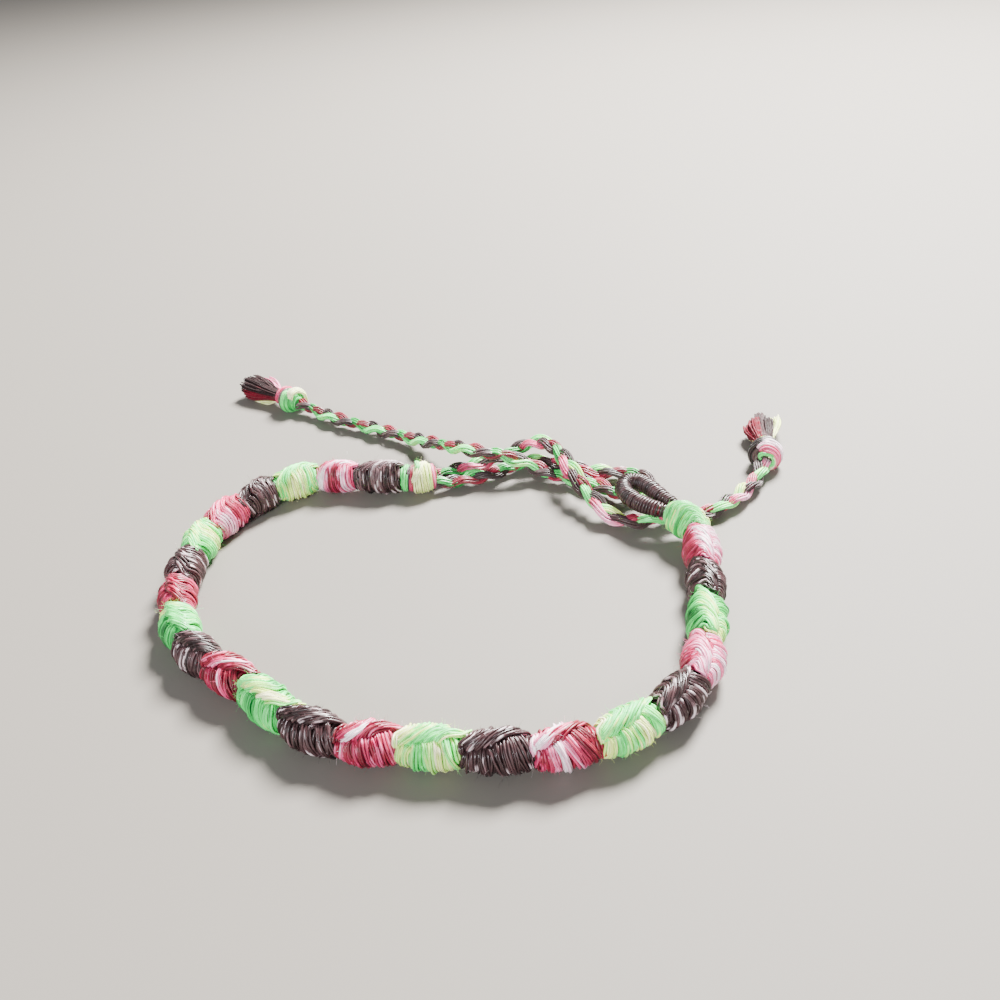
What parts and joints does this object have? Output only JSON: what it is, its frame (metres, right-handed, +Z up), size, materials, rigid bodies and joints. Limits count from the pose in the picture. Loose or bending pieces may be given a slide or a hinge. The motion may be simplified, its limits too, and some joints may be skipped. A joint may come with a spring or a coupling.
{
  "type": "knotted thread friendship bracelet",
  "caption": "Friendship bracelet of knotted embroidery thread in mint green, pink and dark brown, lying closed, with a wrapped closure loop and braided ties ending in knots and tassels",
  "frame": {"origin": "on the surface it lies on, under the middle of the ring's box with the ties left out", "axes": "X along the ring's longer side, Y across it towards the closure's side, Z up from the surface"},
  "size_m": [0.0778, 0.0865, 0.0056],
  "materials": {
    "thread_green": "satin",
    "thread_pink": "satin",
    "thread_brown": "satin",
    "thread_cream": "satin",
    "thread_core": "satin",
    "braid": "satin",
    "tassel_thread": "satin"
  },
  "bodies": {
    "root": {"knots_01_green": "thread_green", "knots_02_pink": "thread_pink", "knots_03_brown": "thread_brown", "knots_04_green": "thread_green", "knots_05_pink": "thread_pink", "knots_06_brown": "thread_brown", "knots_07_green": "thread_green", "knots_08_pink": "thread_pink", "knots_09_brown": "thread_brown", "knots_10_green": "thread_green", "knots_11_pink": "thread_pink", "knots_12_brown": "thread_brown", "knots_13_green": "thread_green", "knots_14_pink": "thread_pink", "knots_15_brown": "thread_brown", "knots_16_green": "thread_green", "knots_17_pink": "thread_pink", "knots_18_brown": "thread_brown", "knots_19_green": "thread_green", "knots_20_pink": "thread_pink", "knots_21_brown": "thread_brown", "knots_22_green": "thread_green", "knots_23_pink": "thread_pink", "knots_24_brown": "thread_brown", "core": "thread_core", "closure_loop": "thread_brown", "end_knot": "thread_cream", "tie_a": "braid", "tie_b": "braid", "tie_a_knot": "thread_cream", "tie_b_knot": "thread_cream", "tie_a_tassel": "tassel_thread", "tie_b_tassel": "tassel_thread"}
  },
  "joints": []
}
